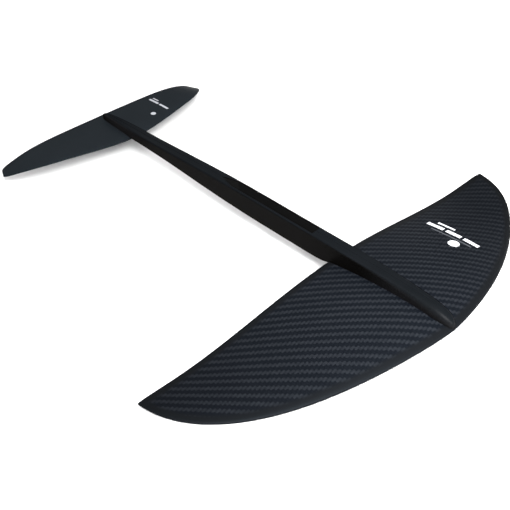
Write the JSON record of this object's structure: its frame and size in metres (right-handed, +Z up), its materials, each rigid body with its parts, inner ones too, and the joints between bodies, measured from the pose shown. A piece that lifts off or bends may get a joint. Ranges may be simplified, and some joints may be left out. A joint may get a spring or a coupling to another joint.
{
  "type": "hydrofoil front wing, fuselage and stabiliser",
  "caption": "Hydrofoil lower unit: wide curved front wing, slim fuselage with an open mast socket, small stabiliser and countersunk wing screws.",
  "frame": {"origin": "on the floor of the mast socket, midway between the two mast bolt holes", "axes": "+X forward towards the front wing's leading edge, +Y to port, +Z up towards the mast"},
  "size_m": [0.979, 0.926, 0.0767],
  "materials": {
    "wing_carbon": "satin twill carbon laminate",
    "stabiliser_carbon": "satin dark slate",
    "fuselage_carbon": "satin near black",
    "screw_steel": "stainless",
    "washer_steel": "stainless",
    "insert_steel": "stainless",
    "foam": "closed cell foam",
    "laminate": "solid glass and carbon laminate",
    "spar_carbon": "unidirectional carbon",
    "liner": "moulded carbon"
  },
  "bodies": {
    "foil": {"front_wing_core_port": "foam", "front_wing_core_starboard": "foam", "front_wing_inserts": "insert_steel", "front_wing_lower_skin": "wing_carbon", "front_wing_root_block": "laminate", "front_wing_sleeves": "insert_steel", "front_wing_spar_port": "spar_carbon", "front_wing_spar_starboard": "spar_carbon", "front_wing_upper_skin": "wing_carbon", "fuselage_core_front": "foam", "fuselage_core_rear": "foam", "fuselage_port_shell": "fuselage_carbon", "fuselage_starboard_shell": "fuselage_carbon", "mast_bolt_sleeves": "insert_steel", "mast_socket_liner": "liner", "stabiliser_core_port": "foam", "stabiliser_core_starboard": "foam", "stabiliser_inserts": "insert_steel", "stabiliser_lower_skin": "stabiliser_carbon", "stabiliser_root_block": "laminate", "stabiliser_sleeves": "insert_steel", "stabiliser_upper_skin": "stabiliser_carbon"},
    "front_wing_washer_1": {"front_wing_washer_1": "washer_steel"},
    "front_wing_screw_1": {"front_wing_screw_1": "screw_steel"},
    "front_wing_washer_2": {"front_wing_washer_2": "washer_steel"},
    "front_wing_screw_2": {"front_wing_screw_2": "screw_steel"},
    "front_wing_washer_3": {"front_wing_washer_3": "washer_steel"},
    "front_wing_screw_3": {"front_wing_screw_3": "screw_steel"},
    "stabiliser_washer_1": {"stabiliser_washer_1": "washer_steel"},
    "stabiliser_screw_1": {"stabiliser_screw_1": "screw_steel"},
    "stabiliser_washer_2": {"stabiliser_washer_2": "washer_steel"},
    "stabiliser_screw_2": {"stabiliser_screw_2": "screw_steel"}
  },
  "joints": [
    {"name": "front_wing_screw_1_travel", "type": "slide", "parent": "foil", "child": "front_wing_washer_1", "axis": [0, 0, -1], "range_m": [0, 0.011]},
    {"name": "front_wing_screw_1_turn", "type": "hinge", "parent": "front_wing_washer_1", "child": "front_wing_screw_1", "pos_m": [0.363, 0, 0], "axis": [0, 0, -1], "range_deg": [0, 3960]},
    {"name": "front_wing_screw_2_travel", "type": "slide", "parent": "foil", "child": "front_wing_washer_2", "axis": [0, 0, -1], "range_m": [0, 0.011]},
    {"name": "front_wing_screw_2_turn", "type": "hinge", "parent": "front_wing_washer_2", "child": "front_wing_screw_2", "pos_m": [0.323, 0, 0], "axis": [0, 0, -1], "range_deg": [0, 3960]},
    {"name": "front_wing_screw_3_travel", "type": "slide", "parent": "foil", "child": "front_wing_washer_3", "axis": [0, 0, -1], "range_m": [0, 0.014]},
    {"name": "front_wing_screw_3_turn", "type": "hinge", "parent": "front_wing_washer_3", "child": "front_wing_screw_3", "pos_m": [0.283, 0, 0], "axis": [0, 0, -1], "range_deg": [0, 5040]},
    {"name": "stabiliser_screw_1_travel", "type": "slide", "parent": "foil", "child": "stabiliser_washer_1", "axis": [0, 0, -1], "range_m": [0, 0.0112]},
    {"name": "stabiliser_screw_1_turn", "type": "hinge", "parent": "stabiliser_washer_1", "child": "stabiliser_screw_1", "pos_m": [-0.449, 0, 0], "axis": [0, 0, -1], "range_deg": [0, 5040]},
    {"name": "stabiliser_screw_2_travel", "type": "slide", "parent": "foil", "child": "stabiliser_washer_2", "axis": [0, 0, -1], "range_m": [0, 0.0112]},
    {"name": "stabiliser_screw_2_turn", "type": "hinge", "parent": "stabiliser_washer_2", "child": "stabiliser_screw_2", "pos_m": [-0.481, 0, 0], "axis": [0, 0, -1], "range_deg": [0, 5040]}
  ],
  "couplings": [
    {"joint": "front_wing_screw_1_turn", "follows": "front_wing_screw_1_travel", "rad_per_m": 6283.2},
    {"joint": "front_wing_screw_2_turn", "follows": "front_wing_screw_2_travel", "rad_per_m": 6283.2},
    {"joint": "front_wing_screw_3_turn", "follows": "front_wing_screw_3_travel", "rad_per_m": 6283.2},
    {"joint": "stabiliser_screw_1_turn", "follows": "stabiliser_screw_1_travel", "rad_per_m": 7854},
    {"joint": "stabiliser_screw_2_turn", "follows": "stabiliser_screw_2_travel", "rad_per_m": 7854}
  ]
}
